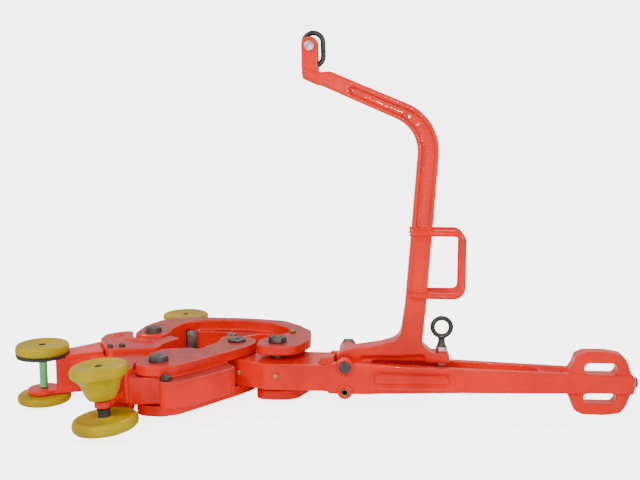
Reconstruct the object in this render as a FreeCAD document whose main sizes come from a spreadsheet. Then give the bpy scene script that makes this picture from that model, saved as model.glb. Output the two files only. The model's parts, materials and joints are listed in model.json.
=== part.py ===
import FreeCAD, Part
import math
import os

import Sketcher

# Manual rig tong.  Millimetres.  Origin on the pipe axis at the jaws' mid-height, +Z up,
# +X along the lever towards its line slots, -Y towards the operator's side.

SIZES = {
    "long_half": 84.0,        # half height of the long jaw
    "short_half": 74.0,       # half height of the short jaw
    "latch_half": 78.0,       # half height of the latch
    "lug_half": 64.0,         # half height of the lug jaw
    "tongue_half": 40.0,      # half height of every hinge tongue
    "ear_in": 42.5,           # inner face of every hinge ear
    "web_half": 8.0,          # half thickness of the lever's web
    "wall": 24.0,             # thickness of the lever's side walls
    "short_pin_r": 24.0,
    "long_pin_r": 24.0,
    "latch_pin_r": 19.0,
    "lug_pin_r": 21.0,
    "pivot_r": 16.0,
    "fit": 0.06,              # radial running clearance of a pin in its hole
    "guard_r": 79.0,
    "rod_r": 9.0,
    "die_height": 110.0,
    "hanger_t": 66.0,
    "hanger_y": -162.0,
    "handle_bar_r": 9.5,
    "ring_rod_r": 7.5,
    "ring_bend_r": 28.0,
    "eyebolt_r": 10.0,
    "line_plate_t": 50.0,
}

# Hinge axes in plan.
SHORT_PIN = (132.0, -100.0)
LONG_PIN = (266.0, -139.0)
LATCH_PIN = (-151.0, -42.0)
LUG_PIN = (-54.0, -340.0)
LATCH_GRIP = (-438.0, -245.0)
LUG_GRIP = (-170.0, -495.0)
BACK_GRIP = (-113.0, 248.0)

LEVER_FRONT = -240.0
PIVOT_X = 480.0
PIVOT_Z = 38.0
RING_PIN = (370.0, 974.0)
SCREW_X = 767.0

doc = FreeCAD.newDocument("tong")
sheet = doc.addObject("Spreadsheet::Sheet", "dims")
for row, (alias, value) in enumerate(SIZES.items(), start=1):
    sheet.set("A%d" % row, alias)
    sheet.set("B%d" % row, str(value))
    sheet.setAlias("B%d" % row, alias)
doc.recompute()

NODES = []


def dim(text):
    """Turn names of the sheet inside an expression into sheet references."""
    out = text
    for alias in sorted(SIZES, key=len, reverse=True):
        out = out.replace("{" + alias + "}", "dims." + alias)
    return out


def round_path(points):
    """Edges of a closed path whose corners (x, y, r) are rounded by arcs of radius r."""
    count = len(points)
    corners = []
    for i, (x, y, r) in enumerate(points):
        here = FreeCAD.Vector(x, y, 0)
        before = FreeCAD.Vector(points[i - 1][0], points[i - 1][1], 0) - here
        after = FreeCAD.Vector(points[(i + 1) % count][0], points[(i + 1) % count][1], 0) - here
        turn = before.getAngle(after)
        if r <= 0 or abs(turn - math.pi) < 0.02:
            corners.append((here, None, here))
            continue
        reach = min(r / math.tan(turn / 2), 0.49 * before.Length, 0.49 * after.Length)
        radius = reach * math.tan(turn / 2)
        before.normalize()
        after.normalize()
        half = before + after
        half.normalize()
        centre = here + half * (radius / math.sin(turn / 2))
        corners.append((here + before * reach, centre - half * radius, here + after * reach))
    edges = []
    for i, (start, middle, end) in enumerate(corners):
        if middle is not None:
            edges.append(Part.Arc(start, middle, end))
        following = corners[(i + 1) % count][0]
        if end.distanceToPoint(following) > 1e-6:
            edges.append(Part.LineSegment(end, following))
    return edges


class Piece:
    """One sub-part of the tong as a PartDesign body."""

    def __init__(self, name, at=(0, 0, 0), lean=0.0):
        self.body = doc.addObject("PartDesign::Body", name)
        self.body.Label = name
        self.body.Placement = FreeCAD.Placement(FreeCAD.Vector(*at),
                                                 FreeCAD.Rotation(FreeCAD.Vector(0, 1, 0), lean))
        self.steps = 0
        NODES.append(self.body)

    def sketch(self, plane, offset="0"):
        self.steps += 1
        sk = self.body.newObject("Sketcher::SketchObject", "%s_sk%d" % (self.body.Name, self.steps))
        for item in self.body.Origin.OriginFeatures:
            if item.Role == plane:
                sk.AttachmentSupport = [(item, "")]
        sk.MapMode = "FlatFace"
        sk.setExpression(".AttachmentOffset.Base.z", dim(offset))
        return sk

    def loop(self, plane, loops, start, length, cut=False):
        """Pad or pocket loops from `start` along the plane's normal by `length`."""
        sk = self.sketch(plane, start)
        for item in loops:
            if item[0] == "circle":
                centre = FreeCAD.Vector(item[1], item[2], 0)
                index = sk.addGeometry(Part.Circle(centre, FreeCAD.Vector(0, 0, 1), 5.0), False)
                bound = sk.addConstraint(Sketcher.Constraint("Radius", index, 5.0))
                sk.setExpression("Constraints[%d]" % bound, dim(item[3]))
                sk.addConstraint(Sketcher.Constraint("DistanceX", index, 3, item[1]))
                sk.addConstraint(Sketcher.Constraint("DistanceY", index, 3, item[2]))
            else:
                for edge in round_path(item[1]):
                    index = sk.addGeometry(edge, False)
                    sk.addConstraint(Sketcher.Constraint("Block", index))
        doc.recompute()
        kind = "PartDesign::Pocket" if cut else "PartDesign::Pad"
        before = self.body.Shape.Volume if self.body.Tip else 0.0
        feature = self.body.newObject(kind, "%s_f%d" % (self.body.Name, self.steps))
        feature.Profile = sk
        feature.setExpression("Length", dim(length))
        feature.Reversed = cut
        feature.Refine = True
        doc.recompute()
        after = self.body.Shape.Volume
        if cut and not after < before - 1.0:
            raise RuntimeError("pocket removed nothing: " + feature.Name)
        if not cut and not after > before + 1.0:
            raise RuntimeError("pad added nothing: " + feature.Name)
        sk.Visibility = False
        return feature

    def plan(self, loops, low, height, cut=False):
        """Prism seen from above, from z = low upwards."""
        return self.loop("XY_Plane", loops, low, height, cut)

    def front(self, loops, y_back, depth, cut=False):
        """Prism seen from the front (x, z), from y = y_back towards the operator."""
        return self.loop("XZ_Plane", loops, "-(%s)" % y_back, depth, cut)

    def both(self, loops, low, height, cut=False):
        """The same plan prism above and below the mid-plane."""
        self.plan(loops, low, height, cut)
        self.plan(loops, "-(%s)-(%s)" % (low, height), height, cut)

    def spin(self, points):
        """Revolve a closed (radius, z) path about the piece's own vertical axis."""
        sk = self.sketch("XZ_Plane")
        for edge in round_path(points):
            index = sk.addGeometry(edge, False)
            sk.addConstraint(Sketcher.Constraint("Block", index))
        doc.recompute()
        feature = self.body.newObject("PartDesign::Revolution", "%s_f%d" % (self.body.Name, self.steps))
        feature.Profile = sk
        feature.ReferenceAxis = (sk, ["V_Axis"])
        feature.Angle = 360.0
        doc.recompute()
        sk.Visibility = False
        return feature


def path(*points, r=0.0):
    """A loop of (x, y) or (x, y, radius) corners; r is the radius where none is given."""
    return ("path", [(p[0], p[1], p[2] if len(p) > 2 else r) for p in points])


def circle(x, y, radius):
    return ("circle", x, y, radius)


def hexagon(x, y, across):
    """A hexagonal loop with the given size across flats."""
    reach = across / math.sqrt(3)
    turns = [math.radians(60 * k) for k in range(6)]
    return path(*[(x + reach * math.cos(t), y + reach * math.sin(t)) for t in turns])


def turned(points, centre, degrees):
    """Points (x, y) turned about the origin after a shift, for the dies round the pipe."""
    t = math.radians(degrees)
    c, s = math.cos(t), math.sin(t)
    return [(centre[0] + c * x - s * y, centre[1] + s * x + c * y) for x, y in points]


def die_loop(degrees, inner, outer, half):
    """A block square to the radius at an angle round the pipe axis."""
    corners = [(inner, -half), (outer, -half), (outer, half), (inner, half)]
    return path(*turned(corners, (0.0, 0.0), degrees))


def die(name, degrees):
    """A toothed die: a keyed block whose face is cut by upright grooves."""
    piece = Piece(name)
    piece.plan([die_loop(degrees, 102.0, 120.0, 17.0)], "-{die_height}/2", "{die_height}")
    for step in range(-3, 4):
        groove = [(101.0, step * 4.6 - 1.1), (103.6, step * 4.6), (101.0, step * 4.6 + 1.1)]
        piece.plan([path(*turned(groove,
                                 (0.0, 0.0), degrees))], "-{die_height}/2", "{die_height}", cut=True)
    return piece


# ------------------------------------------------------------------ lever
lever = Piece("lever")
lever.plan([path((92, -152, 12), (150, -196, 30), (240, -240, 30), (444, -240, 4), (444, -86, 4),
                 (340, -86, 40), (266, -81, 40), (190, -92, 40), (140, -42, 40), (76, -60, 40),
                 (72, -118, 30))],
           "-{tongue_half}", "2*{tongue_half}")
lever.plan([path((430, -240, 4), (1150, -240, 4), (1150, -172, 4), (796, -124, 60), (430, -86, 4))],
           "-{web_half}", "2*{web_half}")
lever.front([path((425, -34, 6), (455, -34, 12), (478, -47, 12), (520, -47, 20), (790, -37, 60),
                  (1120, -30, 40), (1320, -28, 6), (1320, 28, 6), (1120, 30, 40), (790, 37, 60),
                  (520, 47, 20), (478, 47, 12), (455, 34, 12), (425, 34, 6))],
            str(LEVER_FRONT) + "+{wall}", "{wall}")
BACK_WALL = path((430, -86, 2), (796, -124, 60), (1150, -172, 2), (1150, -196, 2), (796, -148, 60),
                 (430, -110, 2))
lever.plan([BACK_WALL], "-37", "74")
lever.plan([path((430, -240, 3), (545, -240, 3), (545, -216, 3), (430, -216, 3))], "-47", "94")
lever.plan([path((430, -110, 3), (545, -122, 3), (545, -98, 3), (430, -86, 3))], "-47", "94")
for top_z, ring_r in ((PIVOT_Z, "25"), (-PIVOT_Z, "22")):
    lever.front([circle(PIVOT_X, top_z, ring_r)], "-216", "34")
    lever.front([circle(PIVOT_X, top_z, ring_r)], "-30", "82")
lever.plan([path((1090, -240, 6), (1150, -240, 6), (1150, -172, 6), (1060, -160, 6), (1040, -190, 20))],
           "-29", "58")
LOOP_UP = path((1128, 26, 30), (1146, 60, 12), (1152, 82, 14), (1176, 94, 16), (1236, 95, 30),
               (1284, 88, 20), (1300, 66, 20), (1313, 28, 20), (1326, 14, 8), (1326, -14, 8),
               (1313, -28, 20),
               (1300, -66, 20), (1284, -88, 20), (1236, -95, 30), (1176, -94, 16), (1152, -82, 14),
               (1146, -60, 12), (1128, -26, 30))
lever.front([LOOP_UP], "-206+{line_plate_t}/2", "{line_plate_t}")
for side in (1, -1):
    lever.front([path((1178, side * 27, 15), (1272, side * 27, 15), (1272, side * 61, 15),
                      (1178, side * 61, 15))], "-170", "80", cut=True)
lever.front([path((403, 36, 2), (404, 60, 14), (446, 62, 4), (446, 36, 2))], "-196", "32")
lever.front([path((552, -25, 24), (806, -21, 20), (806, 21, 20), (552, 25, 24))], "-234", "8", cut=True)
lever.front([path((566, -17, 16), (790, -14, 13), (790, 14, 13),
                  (566, 17, 16))], "-226", "16", cut=True)
lever.plan([circle(SHORT_PIN[0], SHORT_PIN[1], "{short_pin_r}")], "-50", "100", cut=True)
lever.plan([circle(LONG_PIN[0], LONG_PIN[1], "{long_pin_r}")], "-50", "100", cut=True)
lever.front([circle(PIVOT_X, PIVOT_Z, "{pivot_r}")], "-20", "240", cut=True)
lever.front([circle(PIVOT_X, -PIVOT_Z, "11")], "-20", "240", cut=True)

end_bolt = Piece("lever_end_bolt")
end_bolt.loop("YZ_Plane", [circle(-206, 0, "15")], "1326", "8")
end_bolt.loop("YZ_Plane", [circle(-206, 0, "6")], "1334", "3")

pivot_bolt = Piece("hanger_pivot_bolt")
pivot_bolt.front([circle(PIVOT_X, PIVOT_Z, "{pivot_r}")], "4", "254")
pivot_bolt.front([circle(PIVOT_X, PIVOT_Z, "18")], "-250", "4")
pivot_bolt.front([circle(PIVOT_X, PIVOT_Z, "12")], "-254", "3")

pivot_nut = Piece("hanger_pivot_nut")
pivot_nut.front([hexagon(PIVOT_X, PIVOT_Z, 50), circle(PIVOT_X, PIVOT_Z, "{pivot_r}")], "-4", "26")

bushing = Piece("spare_pivot_bushing")
bushing.front([circle(PIVOT_X, -PIVOT_Z, "11"), circle(PIVOT_X, -PIVOT_Z, "8")], "-28", "224")

screws = Piece("jaw_pin_screws")
screws.front([hexagon(273, 6, 14)], "-240", "9")
screws.front([circle(273, 6, "4")], "-249", "2")
screws.front([circle(155, 3, "7")], "-188", "22")
screws.front([circle(155, 3, "3")], "-210", "2")

short_pin = Piece("short_jaw_pin", (SHORT_PIN[0], SHORT_PIN[1], 0.0))
short_pin.plan([circle(0, 0, "{short_pin_r}-{fit}")], "-{short_half}-1", "2*{short_half}+2")
short_pin.plan([circle(0, 0, "28")], "{short_half}+0.4", "6")
short_pin.plan([circle(0, 0, "28")], "-{short_half}-6.4", "6")
short_pin.plan([circle(0, 0, "8")], "{short_half}+3.4", "4", cut=True)

long_pin = Piece("long_jaw_pin", (LONG_PIN[0], LONG_PIN[1], 0.0))
long_pin.plan([circle(0, 0, "{long_pin_r}-{fit}")], "-{long_half}-1", "2*{long_half}+2")
long_pin.plan([circle(0, 0, "30")], "-{long_half}-7", "6.5")
long_pin.plan([circle(0, 0, "15")], "{long_half}", "18")

long_nut = Piece("long_jaw_pin_nut", (LONG_PIN[0], LONG_PIN[1], 0.0))
long_nut.plan([circle(0, 0, "29"), circle(0, 0, "15")], "{long_half}+1", "3")
long_nut.plan([hexagon(0, 0, 48), circle(0, 0, "15")], "{long_half}+4", "12")

# ------------------------------------------------------------------ long jaw
long_jaw = Piece("long_jaw")
LONG_OUT = [(266, -201, 60), (330, -190, 50), (366, -100, 60), (360, 6, 70), (316, 80, 60),
            (254, 146, 70),
            (120, 172, 200), (-19, 174, 200), (-110, 166, 60), (-168, 118, 60), (-198, 40, 60),
            (-204, -40, 50),
            (-200, -92, 46), (-104, -92, 46), (-98, -40, 50), (-96, 30, 60), (-72, 92, 50),
            (-30, 122, 50),
            (60, 132, 150), (140, 130, 60), (222, 100, 60), (290, 24, 60), (282, -30, 50),
            (230, -82, 40),
            (205, -120, 40), (205, -195, 55)]
long_jaw.both([path(*LONG_OUT)], "{long_half}-30", "30")
LONG_WEB = [(352, 22, 40), (306, 80, 60), (246, 134, 60), (118, 158, 200), (-19, 160, 200),
            (-104, 152, 60),
            (-154, 108, 60), (-184, 40, 60), (-186, 10, 12), (-110, 10, 12), (-96, 30, 60),
            (-72, 92, 50),
            (-30, 122, 50), (60, 132, 150), (140, 130, 60), (222, 100, 60), (290, 24, 40)]
long_jaw.plan([path(*LONG_WEB)], "-{long_half}+30", "2*{long_half}-60")
long_jaw.plan([path((236, 86, 20), (190, 96, 20), (120, 34, 10), (100, 62, 30), (60, 100, 60),
                    (0, 117, 60),
                    (-60, 98, 40), (-92, 62, 10), (-88, 100, 20), (-40, 145, 40), (60, 150, 60),
                    (160, 140, 40))],
              "-50", "100")
for angle in (40, 122):
    long_jaw.plan([die_loop(angle, 104, 120.1, 17.2)], "-60", "120", cut=True)
long_jaw.plan([circle(LONG_PIN[0], LONG_PIN[1], "{long_pin_r}")], "-90", "180", cut=True)
long_jaw.plan([circle(LATCH_PIN[0], LATCH_PIN[1], "{latch_pin_r}")], "-90", "180", cut=True)
for y_side in (1, -1):
    long_jaw.plan([path((-148, 128, 6), (-66, 138, 6), (-92, 268, 22), (-134, 268, 22))],
                  str(30 if y_side > 0 else -46), "16")
long_jaw.plan([circle(BACK_GRIP[0], BACK_GRIP[1], "{rod_r}")], "-60", "120", cut=True)

long_die_right = die("long_jaw_die_right", 40)
long_die_left = die("long_jaw_die_left", 122)

latch_pin = Piece("latch_hinge_pin", (LATCH_PIN[0], LATCH_PIN[1], 0.0))
latch_pin.plan([circle(0, 0, "{latch_pin_r}-{fit}")], "-{long_half}-1", "2*{long_half}+2")
latch_pin.plan([circle(0, 0, "27")], "-{long_half}-6", "6")
latch_pin.plan([circle(0, 0, "27")], "{long_half}", "3")
latch_pin.plan([hexagon(0, 0, 46)], "{long_half}+3", "11")

grease = Piece("long_jaw_grease_cap", (300.0, -20.0, 0.0))
grease.plan([hexagon(0, 0, 18)], "{long_half}", "7")
grease.plan([circle(0, 0, "4")], "{long_half}+7", "4")


def guard(name, at, radius, upper, z_low, z_high):
    """A turned finger guard, dished towards its outer face, round a vertical rod."""
    piece = Piece(name, (at[0], at[1], 0.0))
    bore = SIZES["rod_r"]
    rim = radius
    inner, outer = (z_low, z_high) if upper else (z_high, z_low)
    toward = 1.0 if upper else -1.0
    piece.spin([(bore, inner, 0), (rim - 6, inner, 5), (rim, inner + toward * 7, 5),
                (rim, outer - toward * 3, 3),
                (rim - 9, outer, 4), (rim - 24, outer - toward * 5, 8), (26, outer - toward * 7, 4),
                (22, outer - toward * 1, 3), (bore, outer - toward * 1, 0)])
    return piece


guard("long_jaw_guard_upper", BACK_GRIP, SIZES["guard_r"], True, 58.0, 80.0)
guard("long_jaw_guard_lower", BACK_GRIP, SIZES["guard_r"], False, -80.0, -58.0)
back_rod = Piece("long_jaw_grip_rod", (BACK_GRIP[0], BACK_GRIP[1], 0.0))
back_rod.plan([circle(0, 0, "{rod_r}")], "-70", "140")

# ------------------------------------------------------------------ latch
latch = Piece("latch")
LATCH_OUT = [(-236, -14, 12), (-266, -26, 16), (-300, -62, 16), (-300, -120, 16), (-232, -250, 14),
             (-92, -214, 10), (-84, -150, 20), (-53, -96, 4), (-90, -63, 4), (-101, -92, 12),
             (-151, -112, 60),
             (-206, -90, 50), (-223, -42, 30), (-221, -24, 8)]
latch.plan([path(*LATCH_OUT)], "-{latch_half}", "2*{latch_half}")
latch.plan([circle(LATCH_PIN[0], LATCH_PIN[1], "50")], "-{tongue_half}", "2*{tongue_half}")
latch.plan([path((-230, -20, 5), (-230, -110, 5), (-110, -116, 5), (-105, -60, 5), (-151, -50, 5))],
           "-{tongue_half}", "2*{tongue_half}")
latch.plan([path((-246, -48, 10), (-276, -76, 10), (-276, -112, 14), (-222, -222, 12), (-116, -196, 14),
                 (-118, -128, 20), (-166, -136, 40),
                 (-232, -104, 30))], "{latch_half}-5", "6", cut=True)
latch.plan([path((-246, -48, 10), (-276, -76, 10), (-276, -112, 14), (-222, -222, 12), (-116, -196, 14),
                 (-118, -128, 20), (-166, -136, 40),
                 (-232, -104, 30))], "-{latch_half}-1", "6", cut=True)
latch.plan([die_loop(228, 110, 120.1, 17.2)], "-60", "120", cut=True)
latch.plan([circle(LATCH_PIN[0], LATCH_PIN[1], "{latch_pin_r}")], "-90", "180", cut=True)
latch_die = die("latch_die", 228)

fork = Piece("latch_fork")
FORK_ARM = path((-300, -76, 6), (-360, -150, 60), (-424, -212, 20), (-470, -226, 24), (-470, -272, 24),
                (-420, -282, 20), (-330, -240, 60), (-262, -205, 6), (-270, -180, 4), (-300.5, -121, 4))
fork.plan([FORK_ARM], "46", "14")
fork.plan([FORK_ARM], "-60", "14")
fork.plan([circle(LATCH_GRIP[0], LATCH_GRIP[1], "48")], "46", "14")
fork.plan([circle(LATCH_GRIP[0], LATCH_GRIP[1], "48")], "-60", "14")
fork.plan([path((-300.5, -74, 4), (-350, -136, 30), (-392, -186, 14), (-400, -222, 12),
                (-396, -264, 12),
                (-340, -240, 30), (-296, -224, 6), (-252, -214, 4), (-300.5, -121, 2))], "-46", "92")
fork.plan([circle(LATCH_GRIP[0], LATCH_GRIP[1], "{rod_r}")], "-62", "124", cut=True)

fork_bolts = Piece("fork_bolts")
for bx, by in ((-236.0, -222.0), (-204.0, -204.0)):
    fork_bolts.plan([hexagon(bx, by, 18)], "{latch_half}-5", "11")
    fork_bolts.plan([circle(bx, by, "5")], "{latch_half}+6", "3")

guard("latch_guard_upper", LATCH_GRIP, SIZES["guard_r"], True, 62.0, 92.0)
guard("latch_guard_lower", LATCH_GRIP, SIZES["guard_r"], False, -88.0, -62.0)
grip = Piece("latch_grip", (LATCH_GRIP[0], LATCH_GRIP[1], 0.0))
grip.spin([(9, -44, 0), (13, -44, 2), (11.5, -30, 10), (11.5, 30, 10), (13, 44, 2), (9, 44, 0)])
grip_rod = Piece("latch_grip_rod", (LATCH_GRIP[0], LATCH_GRIP[1], 0.0))
grip_rod.plan([circle(0, 0, "{rod_r}")], "-80", "160")

# ------------------------------------------------------------------ short jaw
short_jaw = Piece("short_jaw")
SHORT_OUT = [(192, -60, 50), (194, -130, 50), (152, -196, 60), (106, -258, 80), (58, -322, 60),
             (10, -384, 50),
             (-30, -404, 50), (-114, -400, 56), (-114, -310, 50), (-98, -270, 20), (-80, -212, 16),
             (-31, -200, 30), (12, -190, 30), (34, -208, 10), (56, -156, 30), (74, -116, 20),
             (72, -50, 50),
             (110, -38, 50)]
short_jaw.both([path(*SHORT_OUT)], "{ear_in}", "{short_half}-{ear_in}")
short_jaw.plan([path((100, -250, 20), (58, -308, 40), (14, -362, 20), (8, -318, 20), (-26, -276, 30),
                     (-70, -262, 10), (-78, -214, 12), (-31, -200, 30), (12, -190, 30), (34, -208, 10),
                     (50, -160, 20), (66, -168, 20))], "-{ear_in}", "2*{ear_in}")
short_jaw.plan([path((40, -210, 8), (28, -120, 6), (48, -104, 4), (66, -114, 6), (64, -150, 10),
                     (78, -190, 10))],
               "-{ear_in}", "2*{ear_in}")
short_jaw.plan([path((158, -272, 10), (126, -226, 8), (96, -240, 4), (54, -312, 4), (4, -362, 10),
                     (-14, -391, 10), (-28, -402, 4), (-31, -436, 12), (-6, -441, 30), (40, -420, 50),
                     (92, -364, 60), (146, -296, 14))], "-38", "78")
short_jaw.plan([die_loop(296, 106, 120.1, 17.2)], "-60", "120", cut=True)
short_jaw.plan([circle(SHORT_PIN[0], SHORT_PIN[1], "{short_pin_r}")], "-90", "180", cut=True)
short_jaw.plan([circle(LUG_PIN[0], LUG_PIN[1], "{lug_pin_r}")], "-90", "180", cut=True)
short_die = die("short_jaw_die", 296)

lug_pin = Piece("lug_jaw_pin", (LUG_PIN[0], LUG_PIN[1], 0.0))
lug_pin.plan([circle(0, 0, "{lug_pin_r}-{fit}")], "-{short_half}-1", "2*{short_half}+2")
lug_pin.plan([circle(0, 0, "29")], "{short_half}", "4")
lug_pin.plan([hexagon(0, 0, 50)], "{short_half}+4", "11")
lug_pin.plan([circle(0, 0, "29")], "-{short_half}-8", "8")

# ------------------------------------------------------------------ lug jaw
lug_jaw = Piece("lug_jaw")
lug_jaw.plan([path((-124, -230, 10), (-204, -252, 14), (-216, -300, 20), (-208, -360, 20),
                   (-176, -410, 16),
                   (-122, -424, 10), (-120, -376, 10), (-128, -340, 40), (-120, -300, 10))],
             "-{lug_half}", "2*{lug_half}")
lug_jaw.plan([circle(LUG_PIN[0], LUG_PIN[1], "54")], "-{tongue_half}", "2*{tongue_half}")
lug_jaw.plan([path((-54, -287, 4), (-130, -250, 4), (-150, -330, 4), (-130, -410, 4), (-54, -393, 4))],
             "-{tongue_half}", "2*{tongue_half}")
lug_jaw.plan([path((-140, -400, 6), (-196, -380, 6), (-194, -480, 20), (-190, -517, 19),
                   (-150, -517, 19),
                   (-146, -470, 20))], "-16", "20")
lug_jaw.plan([circle(LUG_GRIP[0], LUG_GRIP[1], "98")], "-90", "58", cut=True)
lug_jaw.plan([circle(LUG_PIN[0], LUG_PIN[1], "{lug_pin_r}")], "-90", "180", cut=True)
lug_jaw.plan([circle(LUG_GRIP[0], LUG_GRIP[1], "{rod_r}+1.2")], "-60", "120", cut=True)

stop = Piece("lug_stop_bolt")
stop.plan([hexagon(-14, -417, 30)], "40", "12")
stop.plan([circle(-14, -417, "8")], "52", "4")

HANDLE_LEAN = -5.0
LUG_AT = (LUG_GRIP[0], LUG_GRIP[1], 0.0)
lug_upper = Piece("lug_guard_upper", LUG_AT, HANDLE_LEAN)
lug_upper.spin([(9, 9, 0), (37, 9, 4), (44, 24, 20), (51, 46, 20), (56, 62, 12), (66, 76, 8),
                (77, 81, 5),
                (79, 88, 4), (78, 101, 4), (70, 105, 4), (56, 99, 8), (26, 97, 4), (22, 104, 3),
                (9, 104, 0)])
lug_lower = Piece("lug_guard_lower", LUG_AT, HANDLE_LEAN)
lug_lower.spin([(9, -42, 0), (80, -42, 8), (90, -50, 8), (90, -68, 6), (82, -76, 6), (60, -70, 8),
                (26, -68, 4), (22, -74, 3), (9, -74, 0)])
lug_grip = Piece("lug_grip", LUG_AT, HANDLE_LEAN)
lug_grip.spin([(9, -41.5, 0), (19, -41.5, 2), (17, -30, 8), (19, -19, 2), (9, -19, 0)])
lug_rod = Piece("lug_grip_rod", LUG_AT, HANDLE_LEAN)
lug_rod.plan([circle(0, 0, "{rod_r}")], "-66", "158")

# ------------------------------------------------------------------ hanger
hanger = Piece("hanger")
HANGER = [(351, 884, 16), (352, 911, 14), (404, 899, 8), (430, 902, 14), (754.4, 767.7, 150),
          (719, 229, 60),
          (708, 96, 20), (738, 70, 14), (790, 70, 8), (790, 38.8, 6), (700, 43, 20), (560, 43, 60),
          (514, 9.5, 12), (451.5, 9.5, 28.5), (451.5, 68, 28.5), (500, 80, 20), (586, 94, 60),
          (642, 112, 60), (656, 219, 60), (692.2, 735.3, 105)]
hanger.front([path(*HANGER)], "{hanger_y}+{hanger_t}/2", "{hanger_t}")
RECESS = [(490, 860, 10), (742.6, 755.5, 135), (722, 446, 12), (684, 446, 12), (704.8, 743.8, 118),
          (486, 838.5, 10)]
LOW_RECESS = path((719, 420, 8), (709, 264, 8), (670, 264, 8), (681, 420, 8))
FOOT_STEP = path((520, 40, 4), (530, 58, 8), (640, 60, 30), (716, 66, 10), (716, 40, 4))
hanger.front([path(*RECESS)], "{hanger_y}-{hanger_t}/2+15", "16", cut=True)
hanger.front([path(*RECESS)], "{hanger_y}+{hanger_t}/2+1", "16", cut=True)
hanger.front([LOW_RECESS], "{hanger_y}-{hanger_t}/2+5", "6", cut=True)
hanger.front([LOW_RECESS], "{hanger_y}+{hanger_t}/2+1", "6", cut=True)
hanger.front([FOOT_STEP], "{hanger_y}-{hanger_t}/2+10", "11", cut=True)
hanger.front([circle(PIVOT_X, PIVOT_Z, "{pivot_r}+{fit}")], "-100", "130", cut=True)
hanger.plan([circle(SCREW_X, -162, "{eyebolt_r}+{fit}")], "10", "80", cut=True)


def grip_frame(name, y):
    """A D-shaped carrying handle of round bar beside the hanger's upright."""
    left, right, low, high, bend = 668.0, 822.0, 248.0, 434.0, 26.0
    bar = SIZES["handle_bar_r"]
    parts = []

    def add(kind, label, place, turn, values):
        item = doc.addObject(kind, "%s_%s" % (name, label))
        item.Placement = FreeCAD.Placement(FreeCAD.Vector(*place), turn)
        for key, value in values.items():
            item.setExpression(key, value)
        item.Visibility = False
        parts.append(item)

    flat = FreeCAD.Rotation(FreeCAD.Vector(0, 1, 0), 90)
    upright = FreeCAD.Rotation()
    ring = FreeCAD.Rotation(FreeCAD.Vector(1, 0, 0), 90)
    radius = dim("{handle_bar_r}")
    for label, z in (("low", low), ("high", high)):
        add("Part::Cylinder", label, (left, y, z), flat,
            {"Radius": radius, "Height": "%s" % (right - bend - left)})
    add("Part::Cylinder", "side", (right, y, low + bend), upright,
        {"Radius": radius, "Height": "%s" % (high - low - 2 * bend)})
    for label, z, first in (("bend_low", low + bend, 270.0), ("bend_high", high - bend, 0.0)):
        turn = FreeCAD.Rotation(FreeCAD.Vector(0, 1, 0), -first).multiply(ring)
        add("Part::Torus", label, (right - bend, y, z), turn,
            {"Radius1": str(bend), "Radius2": radius, "Angle3": "90"})
    whole = doc.addObject("Part::MultiFuse", name)
    whole.Shapes = parts
    whole.Refine = True
    whole.Label = name
    NODES.append(whole)
    return bar


grip_frame("front_handle", -204.4)
grip_frame("rear_handle", -119.6)

lugs = Piece("ring_lug_plates")
PLATE = path((346, 986, 16), (358, 1000, 14), (382, 1000, 14), (394, 986, 16), (396, 880, 6),
             (348, 890, 6))
lugs.front([PLATE], "-137", "12")
lugs.front([PLATE], "-175", "12")
lugs.front([path((348, 890, 2), (396, 880, 2), (398, 860, 2), (352, 880, 2))], "-137", "50")
lugs.front([circle(RING_PIN[0], RING_PIN[1], "8.5")], "-130", "64", cut=True)

ring_pin = Piece("ring_pin")
ring_pin.front([circle(RING_PIN[0], RING_PIN[1], "8.5")], "-133", "58")
ring_pin.front([circle(RING_PIN[0], RING_PIN[1], "14")], "-187", "7")
ring_pin.front([hexagon(RING_PIN[0], RING_PIN[1], 24)], "-125", "12")

for name, low in (("heel_nut_upper", 70.0), ("heel_nut_lower", 24.6)):
    nut = Piece(name, (SCREW_X, -162.0, 0.0))
    nut.plan([hexagon(0, 0, 31), circle(0, 0, "{eyebolt_r}+{fit}")], str(low), "14" if low < 30 else "16")

# ------------------------------------------------------------------ levelling screw and ring
eye = doc.addObject("Part::Torus", "level_eyebolt_eye")
eye.setExpression("Radius1", "27.5")
eye.setExpression("Radius2", "7")
eye.Placement = FreeCAD.Placement(FreeCAD.Vector(SCREW_X, -162.0, 145.0),
                                  FreeCAD.Rotation(FreeCAD.Vector(1, 0, 0), 90))
shank = doc.addObject("Part::Cylinder", "level_eyebolt_shank")
shank.setExpression("Radius", dim("{eyebolt_r}"))
shank.setExpression("Height", "110")
shank.Placement = FreeCAD.Placement(FreeCAD.Vector(SCREW_X, -162.0, 8.4), FreeCAD.Rotation())
eyebolt = doc.addObject("Part::MultiFuse", "level_eyebolt")
eyebolt.Shapes = [eye, shank]
eyebolt.Label = "level_eyebolt"
NODES.append(eyebolt)

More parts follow.
